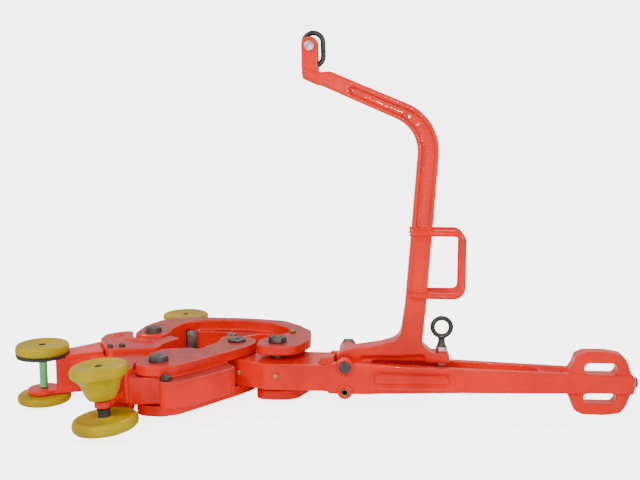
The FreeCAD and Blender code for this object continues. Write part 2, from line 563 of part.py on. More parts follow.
RING_TILT = 2.0
RING_HALF = 19.0
tilt = FreeCAD.Rotation(FreeCAD.Vector(0, 1, 0), -RING_TILT)
middle = FreeCAD.Vector(381.0, -162.0, 965.0)
bits = []
for sign in (1, -1):
    side = doc.addObject("Part::Cylinder", "ring_side_%s" % ("a" if sign > 0 else "b"))
    side.setExpression("Radius", dim("{ring_rod_r}"))
    side.setExpression("Height", str(2 * RING_HALF))
    side.setExpression(".Placement.Base.y", "-162")
    offset = tilt.multVec(FreeCAD.Vector(sign * SIZES["ring_bend_r"], 0, -RING_HALF))
    side.Placement = FreeCAD.Placement(middle + offset, tilt)
    bits.append(side)
    end = doc.addObject("Part::Torus", "ring_end_%s" % ("a" if sign > 0 else "b"))
    end.setExpression("Radius1", dim("{ring_bend_r}"))
    end.setExpression("Radius2", dim("{ring_rod_r}"))
    end.Angle3 = 180
    flip = FreeCAD.Rotation(FreeCAD.Vector(1, 0, 0), 90 * sign)
    offset = tilt.multVec(FreeCAD.Vector(0, 0, sign * RING_HALF))
    end.Placement = FreeCAD.Placement(middle + offset, tilt.multiply(flip))
    bits.append(end)
ring = doc.addObject("Part::MultiFuse", "suspension_ring")
ring.Shapes = bits
ring.Refine = True
ring.Label = "suspension_ring"
NODES.append(ring)

doc.recompute()
for item in doc.Objects:
    if "Invalid" in item.State or "Error" in item.State:
        raise RuntimeError("%s is %s" % (item.Name, item.State))
os.makedirs("parts", exist_ok=True)
for node in NODES:
    shape = node.Shape
    if shape.isNull() or not shape.isValid():
        raise RuntimeError("bad shape: " + node.Label)
    if len(shape.Solids) < 1:
        raise RuntimeError("no solid: " + node.Label)
    shape.exportStep("parts/%s.step" % node.Label)
    box = shape.BoundBox
    print("%-22s solids %d  x %.0f..%.0f  y %.0f..%.0f  z %.0f..%.0f" % (
        node.Label, len(shape.Solids), box.XMin, box.XMax, box.YMin, box.YMax, box.ZMin, box.ZMax))
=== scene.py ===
import json
import math

import bmesh
import bpy
import numpy as np
from mathutils import Matrix, Vector, noise


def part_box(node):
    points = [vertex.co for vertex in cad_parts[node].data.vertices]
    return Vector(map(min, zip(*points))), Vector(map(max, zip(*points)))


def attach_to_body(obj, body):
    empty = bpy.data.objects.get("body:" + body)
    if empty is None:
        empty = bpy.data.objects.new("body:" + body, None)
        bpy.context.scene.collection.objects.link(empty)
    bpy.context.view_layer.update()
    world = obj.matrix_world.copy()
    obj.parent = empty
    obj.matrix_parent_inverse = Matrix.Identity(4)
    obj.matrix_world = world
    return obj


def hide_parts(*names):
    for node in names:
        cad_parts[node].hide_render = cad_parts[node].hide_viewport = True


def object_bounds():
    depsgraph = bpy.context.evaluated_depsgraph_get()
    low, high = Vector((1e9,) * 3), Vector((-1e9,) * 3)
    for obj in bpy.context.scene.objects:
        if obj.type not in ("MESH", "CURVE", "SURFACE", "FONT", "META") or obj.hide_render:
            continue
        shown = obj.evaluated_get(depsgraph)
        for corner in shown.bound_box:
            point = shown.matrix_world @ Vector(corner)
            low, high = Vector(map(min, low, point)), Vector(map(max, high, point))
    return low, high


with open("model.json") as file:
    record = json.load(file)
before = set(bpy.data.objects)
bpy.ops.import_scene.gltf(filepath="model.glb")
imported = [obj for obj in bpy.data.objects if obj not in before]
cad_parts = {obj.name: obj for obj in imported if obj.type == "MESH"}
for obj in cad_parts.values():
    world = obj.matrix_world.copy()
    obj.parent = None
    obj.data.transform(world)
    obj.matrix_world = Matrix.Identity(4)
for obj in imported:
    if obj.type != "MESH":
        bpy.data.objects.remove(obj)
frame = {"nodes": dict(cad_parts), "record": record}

bl_info = {
    "name": "Manual rig tong",
    "version": (1, 0, 0),
    "blender": (4, 5, 0),
    "location": "3D View > Sidebar > Tong",
    "description": "Castings, guards, pins, dies and hanger of a manual rig tong, with a plain stage",
    "category": "Add Mesh",
}

CAD_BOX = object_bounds()
RECORD = frame["record"]
SLOTS = {entry["node"]: entry["material_slot"] for entry in RECORD["subparts"]}
BODY_OF = {node: body for body, nodes in RECORD["behaviour"]["bodies"].items() for node in nodes}
MM = 0.001
ROD_FIT = 8.5            # radius of a guard's bore round its rod, in millimetres
BORE = 11.0              # radius of the cup in a guard's middle, in millimetres
BACKDROP = 5.0           # brightness of the floor and sky as the camera sees them
DAYLIGHT = 0.78          # brightness of the sky as it lights the tong
FLOOR_REACH = 60.0
FLOOR_DROP = 0.0006
CAMERA_AT = (0.60012, -2.70875, 0.76170)
CAMERA_TURN = (math.radians(90 - 7.943), 0.0, math.radians(4.5))
CAMERA_LENS = 48.375
CAMERA_SENSOR = 36.0
LAMP_AIM = (0.35, -0.1, 0.2)
LAMPS = (                # name, place, size and power
    ("key", (-1.4, -2.4, 2.6), 0.6, 70.0),
    ("fill", (2.6, -2.4, 1.2), 0.4, 22.0),
    ("back", (0.6, 2.6, 3.2), 1.6, 60.0),
    ("front", (0.66, -2.9, 0.92), 0.14, 17.0),
)

LARGE_CASTINGS = ("lever", "long_jaw", "hanger")
SMALL_CASTINGS = ("short_jaw", "lug_jaw", "latch", "latch_fork", "ring_lug_plates")
# Upward faces of these castings are mixed toward the film colour: partly dust, partly a painted sky
# reflection on top faces.
TOP_DUST_AND_SHEEN = {"long_jaw": 1.0, "short_jaw": 1.0, "latch": 0.8, "lug_jaw": 0.8}
FASTENERS = (
    "lever_end_bolt", "hanger_pivot_bolt", "hanger_pivot_nut", "short_jaw_pin", "long_jaw_pin",
    "long_jaw_pin_nut", "latch_hinge_pin", "lug_jaw_pin", "lug_stop_bolt", "fork_bolts", "ring_pin",
    "heel_nut_upper", "heel_nut_lower", "spare_pivot_bushing", "jaw_pin_screws", "long_jaw_grease_cap",
    "long_jaw_grip_rod", "latch_grip_rod", "lug_grip_rod",
)
DIES = {"long_jaw_die_right": 40.0, "long_jaw_die_left": 122.0, "latch_die": 228.0,
        "short_jaw_die": 296.0}


# ---------------------------------------------------------------- shader helpers
class Value:
    """A shader socket that takes part in ordinary arithmetic."""

    def __init__(self, recipe, socket):
        self.recipe = recipe
        self.socket = socket

    def _math(self, operation, first, second):
        return self.recipe.node("ShaderNodeMath", {"operation": operation}, {0: first, 1: second})

    def __add__(self, other):
        return self._math("ADD", self, other)

    __radd__ = __add__

    def __sub__(self, other):
        return self._math("SUBTRACT", self, other)

    def __rsub__(self, other):
        return self._math("SUBTRACT", other, self)

    def __mul__(self, other):
        return self._math("MULTIPLY", self, other)

    __rmul__ = __mul__


class Recipe:
    """A material with one Principled surface, built node by node."""

    def __init__(self, name):
        self.material = bpy.data.materials.new(name)
        self.material.use_nodes = True
        self.tree = self.material.node_tree
        self.tree.nodes.clear()
        self.place = self.node("ShaderNodeTexCoord", out="Object")

    def node(self, kind, settings=None, inputs=None, out=0):
        made = self.tree.nodes.new(kind)
        for key, value in (settings or {}).items():
            setattr(made, key, value)
        for key, value in (inputs or {}).items():
            if isinstance(value, Value):
                self.tree.links.new(value.socket, made.inputs[key])
            else:
                made.inputs[key].default_value = value
        return Value(self, made.outputs[out])

    def noise(self, scale, detail=3.0, roughness=0.55, distortion=0.0):
        inputs = {"Vector": self.place, "Scale": scale, "Detail": detail, "Roughness": roughness,
                  "Distortion": distortion}
        return self.node("ShaderNodeTexNoise", {"noise_dimensions": "3D"}, inputs, "Fac")

    def spots(self, scale):
        return self.node("ShaderNodeTexVoronoi", {"feature": "F1"},
                         {"Vector": self.place, "Scale": scale}, "Distance")

    def step(self, value, low, high, to_low=0.0, to_high=1.0):
        inputs = {"Value": value, "From Min": low, "From Max": high, "To Min": to_low,
                  "To Max": to_high}
        return self.node("ShaderNodeMapRange", {"interpolation_type": "SMOOTHSTEP"}, inputs)

    def mix(self, amount, first, second):
        first = first if isinstance(first, Value) else (*first, 1.0)
        second = second if isinstance(second, Value) else (*second, 1.0)
        return self.node("ShaderNodeMix", {"data_type": "RGBA"}, {0: amount, 6: first, 7: second}, 2)

    def attribute(self, name):
        return self.node("ShaderNodeAttribute", {"attribute_name": name}, out="Fac")

    def bump(self, height, strength, distance):
        return self.node("ShaderNodeBump", None,
                         {"Height": height, "Strength": strength, "Distance": distance}, "Normal")

    def finish(self, inputs):
        surface = self.node("ShaderNodeBsdfPrincipled", None, inputs)
        self.node_output(surface)
        return self.material

    def node_output(self, surface):
        output = self.tree.nodes.new("ShaderNodeOutputMaterial")
        self.tree.links.new(surface.socket, output.inputs["Surface"])


def enamel(name, colour, film_and_sheen, coat):
    """Gloss enamel brushed over a sand casting: peel, pits, chipped edges, a painted highlight along
    convex edges, and upward faces turned to a dull film that is partly dust and partly painted sky
    reflection.
    """
    r = Recipe(name)
    blotch = r.noise(4.0, 3.0)
    grain = r.noise(210.0, 5.0, 0.62)
    peel = r.noise(70.0, 2.0)
    smear = r.noise(16.0, 4.0, 0.6, 0.8)
    rough = r.attribute("rough_cast")
    # This value is high on upward faces; there the colour turns to the film colour, partly dust and
    # partly painted sky reflection.
    dust = r.attribute("dust") * r.step(smear, 0.25, 0.62, 0.55, 1.0)
    edge = r.attribute("edge")
    deep = tuple(c * 0.72 for c in colour)
    bright = tuple(min(1.0, c * 1.06 + 0.01) for c in colour)
    tint = r.mix(r.step(blotch, 0.35, 0.7), colour, deep)
    # Painted highlight: convex edges are lightened toward a brighter red, standing in for the light
    # that rounded edges catch.
    tint = r.mix(r.step(edge, 0.25, 0.9, 0.0, 0.55), tint, bright)
    # Painted reflection, partly dust: upward faces are mixed to the dull film colour.
    tint = r.mix(dust, tint, film_and_sheen)
    soot = r.step(r.spots(55.0), 0.0, 0.16, 1.0, 0.0) * r.step(smear, 0.58, 0.72)
    tint = r.mix(soot * 0.55, tint, (0.08, 0.02, 0.015))
    chip = r.step(edge, 0.62, 0.95) * r.step(r.noise(95.0, 4.0, 0.7), 0.66, 0.72)
    tint = r.mix(chip, tint, (0.11, 0.09, 0.085))
    height = grain * (0.35 + rough * 3.4) + peel * (0.5 + rough * 1.8) - chip * 0.5
    gloss = 0.17 + grain * 0.14 + dust * 0.2 + chip * 0.3
    return r.finish({"Base Color": tint, "Roughness": gloss, "Specular IOR Level": 0.16,
                     "Coat Weight": rough * 0.6 + coat, "Coat Roughness": 0.05,
                     "Normal": r.bump(height, 0.5, 0.0013)})


def guard_paint(name, colour):
    """Yellow paint on a moulded finger guard, with handling marks and darker blotches."""
    r = Recipe(name)
    blotch = r.noise(9.0, 4.0, 0.6)
    scuff = r.noise(60.0, 6.0, 0.7, 1.2)
    peel = r.noise(170.0, 3.0)
    dirty = r.step(scuff, 0.58, 0.74)
    deep = (colour[0] * 0.78, colour[1] * 0.68, colour[2] * 0.6)
    tint = r.mix(r.step(blotch, 0.35, 0.68), colour, deep)
    tint = r.mix(dirty * 0.5, tint, (0.16, 0.13, 0.03))
    height = peel * 0.6 + blotch * 0.8 - dirty * 0.25
    return r.finish({"Base Color": tint, "Roughness": 0.3 + dirty * 0.25 + blotch * 0.1,
                     "Specular IOR Level": 0.12, "Coat Weight": 0.05, "Coat Roughness": 0.15,
                     "Normal": r.bump(height, 0.45, 0.001)})


def moulded(name, colour, shine, speck):
    """Rubber or plastic: fine matt grain, scuffs and settled dust."""
    r = Recipe(name)
    grain = r.noise(650.0, 4.0, 0.7)
    scuff = r.step(r.noise(45.0, 5.0, 0.7, 0.6), 0.55, 0.72)
    tint = r.mix(scuff * 0.45, colour, speck)
    return r.finish({"Base Color": tint, "Roughness": shine + grain * 0.2 + scuff * 0.1,
                     "Normal": r.bump(grain, 0.35, 0.0004)})


def metal(name, colour, dark, shine, metallic, pits):
    """Bare, plated or blackened steel: turning marks, stains and small pits."""
    r = Recipe(name)
    stain = r.noise(38.0, 5.0, 0.65, 0.5)
    grain = r.noise(900.0, 2.0)
    pit = r.step(r.spots(320.0), 0.0, 0.2, 1.0, 0.0)
    tint = r.mix(r.step(stain, 0.36, 0.68), colour, dark)
    height = grain * 0.25 - pit * pits + stain * 0.35
    return r.finish({"Base Color": tint, "Metallic": metallic, "Roughness": shine + stain * 0.25,
                     "Normal": r.bump(height, 0.4, 0.0005)})


def ground(name):
    """A plain pale studio floor with the faintest unevenness."""
    r = Recipe(name)
    cloud = r.noise(1.3, 2.0)
    tint = r.mix(cloud, (0.93, 0.93, 0.93), (0.9, 0.9, 0.905))
    dull = r.node("ShaderNodeBsdfPrincipled", None, {"Base Color": tint, "Roughness": 0.75})
    lit = r.node("ShaderNodeBsdfPrincipled", None,
                 {"Base Color": tint, "Roughness": 1.0, "Specular IOR Level": 0.0,
                  "Emission Color": (1.0, 1.0, 1.0, 1.0), "Emission Strength": BACKDROP - 0.8})
    seen = r.node("ShaderNodeLightPath", out="Is Camera Ray")
    r.node_output(r.node("ShaderNodeMixShader", None, {0: seen, 1: dull, 2: lit}))
    return r.material


MATERIALS = {}


def material_of(slot):
    return MATERIALS[slot]


# ---------------------------------------------------------------- mesh helpers
def new_object(name, mesh):
    obj = bpy.data.objects.new(name, mesh)
    bpy.context.scene.collection.objects.link(obj)
    return obj


def settle(obj, name):
    """Apply an object's modifiers and return a plain object called `name`."""
    bpy.context.view_layer.update()
    evaluated = obj.evaluated_get(bpy.context.evaluated_depsgraph_get())
    mesh = bpy.data.meshes.new_from_object(evaluated)
    old = obj.data
    bpy.data.objects.remove(obj)
    if isinstance(old, bpy.types.Mesh):
        bpy.data.meshes.remove(old)
    else:
        bpy.data.curves.remove(old)
    mesh.name = name
    return new_object(name, mesh)


def attach(obj, body, slot, *stands_for):
    """Give a piece its finish, its body and the CAD nodes that it stands for."""
    obj.data.materials.clear()
    obj.data.materials.append(material_of(slot))
    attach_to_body(obj, body)
    if stands_for:
        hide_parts(*stands_for)
    return obj


def welded_copy(node):
    """A merged copy of a node's mesh with its flat faces joined."""
    mesh = frame["nodes"][node].data.copy()
    bm = bmesh.new()
    bm.from_mesh(mesh)
    bmesh.ops.remove_doubles(bm, verts=bm.verts, dist=2e-5)
    bmesh.ops.dissolve_limit(bm, angle_limit=math.radians(0.6), verts=bm.verts, edges=bm.edges)
    bm.to_mesh(mesh)
    bm.free()
    if "custom_normal" in mesh.attributes:
        mesh.attributes.remove(mesh.attributes["custom_normal"])
    return new_object(node + "_work", mesh)


def set_point_value(mesh, name, values):
    layer = mesh.attributes.get(name) or mesh.attributes.new(name, "FLOAT", "POINT")
    layer.data.foreach_set("value", np.asarray(values, np.float32))


def mesh_arrays(mesh):
    co = np.empty(len(mesh.vertices) * 3)
    no = np.empty(len(mesh.vertices) * 3)
    mesh.vertices.foreach_get("co", co)
    mesh.vertices.foreach_get("normal", no)
    edges = np.empty(len(mesh.edges) * 2, np.int64)
    mesh.edges.foreach_get("vertices", edges)
    return co.reshape(-1, 3), no.reshape(-1, 3), edges.reshape(-1, 2)


def edge_wear_and_highlight(co, no, edges, scale):
    """How far each point stands proud of its neighbours, from 0 on a flat to 1 on a sharp corner."""
    total = np.zeros_like(co)
    count = np.zeros(len(co))
    for a, b in ((0, 1), (1, 0)):
        np.add.at(total, edges[:, a], co[edges[:, b]])
        np.add.at(count, edges[:, a], 1)
    proud = ((co - total / np.maximum(count, 1)[:, None]) * no).sum(1)
    return np.clip(proud / scale, 0.0, 1.0)


def recess_mask(name, co):
    """1 in the hanger's rough recessed web, 0 elsewhere."""
    if name != "hanger":
        return np.zeros(len(co))
    low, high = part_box("hanger")
    depth = np.abs(co[:, 1] - (low.y + high.y) / 2)
    half = (high.y - low.y) / 2
    inside = np.clip((half * 0.86 - depth) / (half * 0.2), 0, 1)
    return inside * (co[:, 2] > 0.15)


def cast_piece(node, voxel, rounds, keep):
    """A sand-cast body: the CAD shape with rounded edges, filleted corners and an uneven skin."""
    work = welded_copy(node)
    skin = work.modifiers.new("skin", "REMESH")
    skin.mode = "VOXEL"
    skin.voxel_size = voxel
    relax = work.modifiers.new("relax", "SMOOTH")
    relax.factor = 0.5
    relax.iterations = rounds
    thin = work.modifiers.new("thin", "DECIMATE")
    thin.ratio = keep
    piece = settle(work, node + "_casting")
    mesh = piece.data
    co, no, edges = mesh_arrays(mesh)
    # The edge value drives both real chipped paint and a painted highlight on convex edges.
    wear_and_highlight = edge_wear_and_highlight(co, no, edges, voxel * 0.22)
    shift = np.empty(len(co))
    for index in range(len(co)):
        point = Vector(co[index])
        shift[index] = noise.noise(point * 38.0) * 0.35 + noise.noise(point * 150.0) * 0.22
    co = co + no * (shift * MM)[:, None]
    mesh.vertices.foreach_set("co", co.ravel())
    set_point_value(mesh, "edge", wear_and_highlight)
    set_point_value(mesh, "rough_cast", recess_mask(node, co))
    # Upward faces get a value that mixes them to the film colour: partly dust, partly painted sky
    # reflection.
    top = np.clip((no[:, 2] - 0.82) / 0.14, 0, 1) * TOP_DUST_AND_SHEEN.get(node, 0.12)
    set_point_value(mesh, "dust", top)
    mesh.shade_smooth()
    return attach(piece, BODY_OF[node], SLOTS[node], node)


def machined_piece(node, width, angle=32.0):
    """A turned or milled piece with small bright chamfers."""
    work = welded_copy(node)
    edge = work.modifiers.new("edge", "BEVEL")
    edge.width = width
    edge.segments = 2
    edge.limit_method = "ANGLE"
    edge.angle_limit = math.radians(angle)
    edge.use_clamp_overlap = True
    piece = settle(work, node + "_made")
    mesh = piece.data
    mesh.shade_smooth()
    mesh.set_sharp_from_angle(angle=math.radians(38))
    return attach(piece, BODY_OF[node], SLOTS[node], node)


def smooth_line(points, steps):
    """A closed Catmull-Rom line through (radius, height) points, sharp where a point is repeated."""
    count = len(points)
    line = []
    for i in range(count):
        p0, p1, p2, p3 = (np.array(points[(i + k) % count], float) for k in (-1, 0, 1, 2))
        if np.allclose(p1, p2):
            continue
        for s in range(steps):
            t = s / steps
            q = 0.5 * (2 * p1 + (p2 - p0) * t + (2 * p0 - 5 * p1 + 4 * p2 - p3) * t * t
                       + (3 * p1 - 3 * p2 + p3 - p0) * t ** 3)
            line.append(q)
    return line


def turned_mesh(name, line, stand, sides=120, wobble=0.0):
    """Revolve a closed (radius, height) line in millimetres upright, then stand it in place."""
    bm = bmesh.new()
    rings = []
    for k in range(sides):
        angle = 2 * math.pi * k / sides
        sway = 1 + wobble * noise.noise(Vector((math.cos(angle), math.sin(angle), 0.3)) * 2.0)
        ring = [bm.verts.new((r * sway * MM * math.cos(angle), r * sway * MM * math.sin(angle), z * MM))
                for r, z in line]
        rings.append(ring)
    total = len(line)
    for k in range(sides):
        here, there = rings[k], rings[(k + 1) % sides]
        for i in range(total):
            j = (i + 1) % total
            bm.faces.new((here[i], there[i], there[j], here[j]))
    bmesh.ops.remove_doubles(bm, verts=bm.verts, dist=1e-6)
    bmesh.ops.recalc_face_normals(bm, faces=bm.faces)
    bmesh.ops.transform(bm, matrix=stand, verts=bm.verts)
    mesh = bpy.data.meshes.new(name)
    bm.to_mesh(mesh)
    bm.free()
    mesh.shade_smooth()
    mesh.set_sharp_from_angle(angle=math.radians(50))
    return new_object(name, mesh)


def handle_stand(rod, lean=0.0):
    """The place of a spool handle: its rod's axis, with heights measured from the jaws' mid-plane."""
    low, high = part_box(rod)
    turn = Matrix.Rotation(-lean, 4, "Y")
    middle = (low + high) / 2
    along = turn @ Vector((0, 0, 1))
    return Matrix.Translation(middle - along * (middle.z / along.z)) @ turn


# ---------------------------------------------------------------- geometry-node trees
def input_socket(tree, name, kind, default):
    socket = tree.interface.new_socket(name=name, in_out="INPUT", socket_type=kind)
    if default is not None:
        socket.default_value = default
    return socket.identifier


def node_group(name, inputs):
    tree = bpy.data.node_groups.new(name, "GeometryNodeTree")
    keys = {label: input_socket(tree, label, kind, default) for label, kind, default in inputs}
    tree.interface.new_socket(name="Geometry", in_out="OUTPUT", socket_type="NodeSocketGeometry")
    return tree, keys


def place_node(tree, kind, settings=None, inputs=None):
    made = tree.nodes.new(kind)
    for key, value in (settings or {}).items():
        setattr(made, key, value)
    for key, value in (inputs or {}).items():
        if isinstance(value, bpy.types.NodeSocket):
            tree.links.new(value, made.inputs[key])
        else:
            made.inputs[key].default_value = value
    return made


def close_tree(tree, geometry, material):
    real = place_node(tree, "GeometryNodeRealizeInstances", None, {"Geometry": geometry})
    coat = place_node(tree, "GeometryNodeSetMaterial", None,
                      {"Geometry": real.outputs[0], "Material": material})
    end = tree.nodes.new("NodeGroupOutput")
    tree.links.new(coat.outputs[0], end.inputs[0])


def grown(name, tree, keys, values, start=None):
    """Run a tree on an object with its named inputs set and return the plain mesh object."""
    obj = new_object(name + "_grow", start or bpy.data.meshes.new(name + "_seed"))
    modifier = obj.modifiers.new("grow", "NODES")
    modifier.node_group = tree
    for label, value in values.items():
        modifier[keys[label]] = value
    return settle(obj, name)


def tooth_tree(material):
    """A grid of pointed teeth aimed at the pipe axis, turned about it."""
    tree, keys = node_group("die_teeth", [
        ("Rows", "NodeSocketInt", 24), ("Columns", "NodeSocketInt", 7),
        ("Row Step", "NodeSocketFloat", 0.0045),
        ("Column Step", "NodeSocketFloat", 0.0046), ("Tooth", "NodeSocketFloat", 0.0022),
        ("Distance", "NodeSocketFloat", 0.102), ("Angle", "NodeSocketFloat", 0.0)])
    source = tree.nodes.new("NodeGroupInput").outputs
    span_y = place_node(tree, "ShaderNodeMath", {"operation": "MULTIPLY"},
                        {0: source["Columns"], 1: source["Column Step"]})
    span_z = place_node(tree, "ShaderNodeMath", {"operation": "MULTIPLY"},
                        {0: source["Rows"], 1: source["Row Step"]})
    grid = place_node(tree, "GeometryNodeMeshGrid", None,
                      {"Size X": span_z.outputs[0], "Size Y": span_y.outputs[0],
                       "Vertices X": source["Rows"], "Vertices Y": source["Columns"]})
    cone = place_node(tree, "GeometryNodeMeshCone", None,
                      {"Vertices": 4, "Radius Top": 0.0002, "Radius Bottom": source["Tooth"],
                       "Depth": source["Tooth"]})
    turn = place_node(tree, "GeometryNodeTransform", None,
                      {"Geometry": cone.outputs["Mesh"], "Rotation": (0.0, 0.0, math.radians(45))})
    rows = place_node(tree, "GeometryNodeInstanceOnPoints", None,
                      {"Points": grid.outputs["Mesh"], "Instance": turn.outputs[0]})
    stand = place_node(tree, "GeometryNodeTransform", None,
                       {"Geometry": rows.outputs[0], "Rotation": (0.0, math.radians(-90), 0.0)})
    offset = place_node(tree, "ShaderNodeCombineXYZ", None, {"X": source["Distance"]})
    out = place_node(tree, "GeometryNodeTransform", None,
                     {"Geometry": stand.outputs[0], "Translation": offset.outputs[0]})
    spin = place_node(tree, "ShaderNodeCombineXYZ", None, {"Z": source["Angle"]})
    done = place_node(tree, "GeometryNodeTransform", None,
                      {"Geometry": out.outputs[0], "Rotation": spin.outputs[0]})
    close_tree(tree, done.outputs[0], material)
    return tree, keys


def thread_tree(material):
    """A helical ridge round a vertical shank."""
    tree, keys = node_group("thread", [
        ("Turns", "NodeSocketFloat", 12.0), ("Radius", "NodeSocketFloat", 0.01),
        ("Height", "NodeSocketFloat", 0.03),
        ("Ridge", "NodeSocketFloat", 0.0008), ("Base", "NodeSocketVector", (0.0, 0.0, 0.0))])
    source = tree.nodes.new("NodeGroupInput").outputs
    spiral = place_node(tree, "GeometryNodeCurveSpiral", None,
                        {"Resolution": 40, "Rotations": source["Turns"],
                         "Start Radius": source["Radius"],
                         "End Radius": source["Radius"], "Height": source["Height"]})
    ridge = place_node(tree, "GeometryNodeCurvePrimitiveCircle", {"mode": "RADIUS"},
                       {"Resolution": 4, "Radius": source["Ridge"]})
    swept = place_node(tree, "GeometryNodeCurveToMesh", None,
                       {"Curve": spiral.outputs[0], "Profile Curve": ridge.outputs[0],
                        "Fill Caps": True})
    done = place_node(tree, "GeometryNodeTransform", None,
                      {"Geometry": swept.outputs[0], "Translation": source["Base"]})
    close_tree(tree, done.outputs[0], material)
    return tree, keys


def weld_tree(material):
    """Overlapping weld beads laid along a path."""
    tree, keys = node_group("weld_beads", [
        ("Geometry", "NodeSocketGeometry", None), ("Spacing", "NodeSocketFloat", 0.0026),
        ("Bead", "NodeSocketFloat", 0.0032), ("Seed", "NodeSocketInt", 7)])
    source = tree.nodes.new("NodeGroupInput").outputs
    path = place_node(tree, "GeometryNodeMeshToCurve", None, {"Mesh": source["Geometry"]})
    points = place_node(tree, "GeometryNodeResampleCurve", {"mode": "LENGTH"},
                        {"Curve": path.outputs[0], "Length": source["Spacing"]})
    ball = place_node(tree, "GeometryNodeMeshIcoSphere", None,
                      {"Radius": source["Bead"], "Subdivisions": 3})
    vary = place_node(tree, "FunctionNodeRandomValue", {"data_type": "FLOAT"},
                      {2: 0.85, 3: 1.12, "Seed": source["Seed"]})
    beads = place_node(tree, "GeometryNodeInstanceOnPoints", None,
                       {"Points": points.outputs[0], "Instance": ball.outputs["Mesh"],
                        "Scale": vary.outputs[1]})
    close_tree(tree, beads.outputs[0], material)
    return tree, keys


def bead_path(name, points):
    mesh = bpy.data.meshes.new(name)
    mesh.from_pydata(points, [(i, i + 1) for i in range(len(points) - 1)], [])
    return mesh


# ---------------------------------------------------------------- settings
class TongSettings(bpy.types.PropertyGroup):
    """Sizes and colours of the tong's visible finish."""
    enamel_red: bpy.props.FloatVectorProperty(
        name="Enamel", description="Colour of the red gloss enamel", subtype="COLOR", size=3,
        default=(0.84, 0.009, 0.001), min=0.0, max=1.0)
    # Colour given to the jaws' upward faces: partly dust, partly a painted sky reflection.
    film_and_sheen: bpy.props.FloatVectorProperty(
        name="Top film", description="Colour of the dull film on the jaws' upper faces",
        subtype="COLOR", size=3,
        default=(0.31, 0.022, 0.016), min=0.0, max=1.0)
    guard_yellow: bpy.props.FloatVectorProperty(
        name="Guards", description="Colour of the finger guards", subtype="COLOR", size=3,
        default=(0.44, 0.32, 0.0), min=0.0, max=1.0)
    grip_green: bpy.props.FloatVectorProperty(
        name="Grip", description="Colour of the latch handle's sleeve", subtype="COLOR", size=3,
        default=(0.12, 0.62, 0.2), min=0.0, max=1.0)
    fine_skin: bpy.props.FloatProperty(
        name="Small casting skin", description="Surface spacing on the small castings", unit="LENGTH",
        default=0.0022, min=0.001, max=0.01)
    coarse_skin: bpy.props.FloatProperty(
        name="Large casting skin", description="Surface spacing on the large castings", unit="LENGTH",
        default=0.0028, min=0.001, max=0.01)
    chamfer: bpy.props.FloatProperty(
        name="Chamfer", description="Chamfer width on pins, nuts and bolts", unit="LENGTH",
        default=0.0011, min=0.0, max=0.004)
    thread_pitch: bpy.props.FloatProperty(
        name="Thread pitch", description="Pitch of the levelling screw", unit="LENGTH", default=0.0025,
        min=0.001, max=0.006)
    tooth_rows: bpy.props.IntProperty(
        name="Die tooth rows", description="Rows of teeth on each die", default=24, min=4, max=60)
    handle_lean: bpy.props.FloatProperty(
        name="Handle lean", description="Lean of the lug jaw's spool handle", subtype="ANGLE",
        default=math.radians(5.0), min=0.0, max=0.3)
    weld_bead: bpy.props.FloatProperty(
        name="Weld bead", description="Radius of the beads at the carrying handles", unit="LENGTH",
        default=0.0034, min=0.001, max=0.01)


def settings():
    return bpy.context.scene.tong


class TongPiece:
    """What every operator of the tong shares."""
    bl_options = {"REGISTER", "UNDO"}


class TONG_OT_finishes(TongPiece, bpy.types.Operator):
    """Make the materials, one for each slot of the record"""
    bl_idname = "tong.finishes"
    bl_label = "Finishes"

    def execute(self, context):
        own = settings()
        MATERIALS.update({
            "red_enamel": enamel("red_enamel", tuple(own.enamel_red), tuple(own.film_and_sheen), 0.2),
            "yellow_paint": guard_paint("yellow_paint", tuple(own.guard_yellow)),
            "green_grip": moulded("green_grip", tuple(own.grip_green), 0.32, (0.14, 0.45, 0.19)),
            "black_rubber": moulded("black_rubber", (0.02, 0.02, 0.021), 0.5, (0.06, 0.055, 0.05)),
            "dark_steel": metal("dark_steel", (0.115, 0.09, 0.085), (0.05, 0.04, 0.038), 0.34, 0.75,
                                0.5),
            "black_steel": metal("black_steel", (0.055, 0.052, 0.05), (0.022, 0.02, 0.02), 0.3, 0.6,
                                 0.4),
            "zinc_steel": metal("zinc_steel", (0.62, 0.6, 0.57), (0.4, 0.38, 0.36), 0.22, 1.0, 0.3),
            "die_steel": metal("die_steel", (0.33, 0.32, 0.31), (0.17, 0.155, 0.15), 0.3, 1.0, 0.5),
            "brass": metal("brass", (0.5, 0.36, 0.13), (0.25, 0.19, 0.09), 0.3, 1.0, 0.4),
            "floor": ground("floor"),
        })
        return {"FINISHED"}


class TONG_OT_large_castings(TongPiece, bpy.types.Operator):
    """Make the lever, the long jaw and the hanger as rounded castings"""
    bl_idname = "tong.large_castings"
    bl_label = "Lever, long jaw and hanger"

    def execute(self, context):
        for node in LARGE_CASTINGS:
            cast_piece(node, settings().coarse_skin, 7, 0.5)
        return {"FINISHED"}


class TONG_OT_small_castings(TongPiece, bpy.types.Operator):
    """Make the short jaw, lug jaw, latch, fork and ring lugs as rounded castings"""
    bl_idname = "tong.small_castings"
    bl_label = "Small castings"

    def execute(self, context):
        for node in SMALL_CASTINGS:
            cast_piece(node, settings().fine_skin, 6, 0.45)
        return {"FINISHED"}


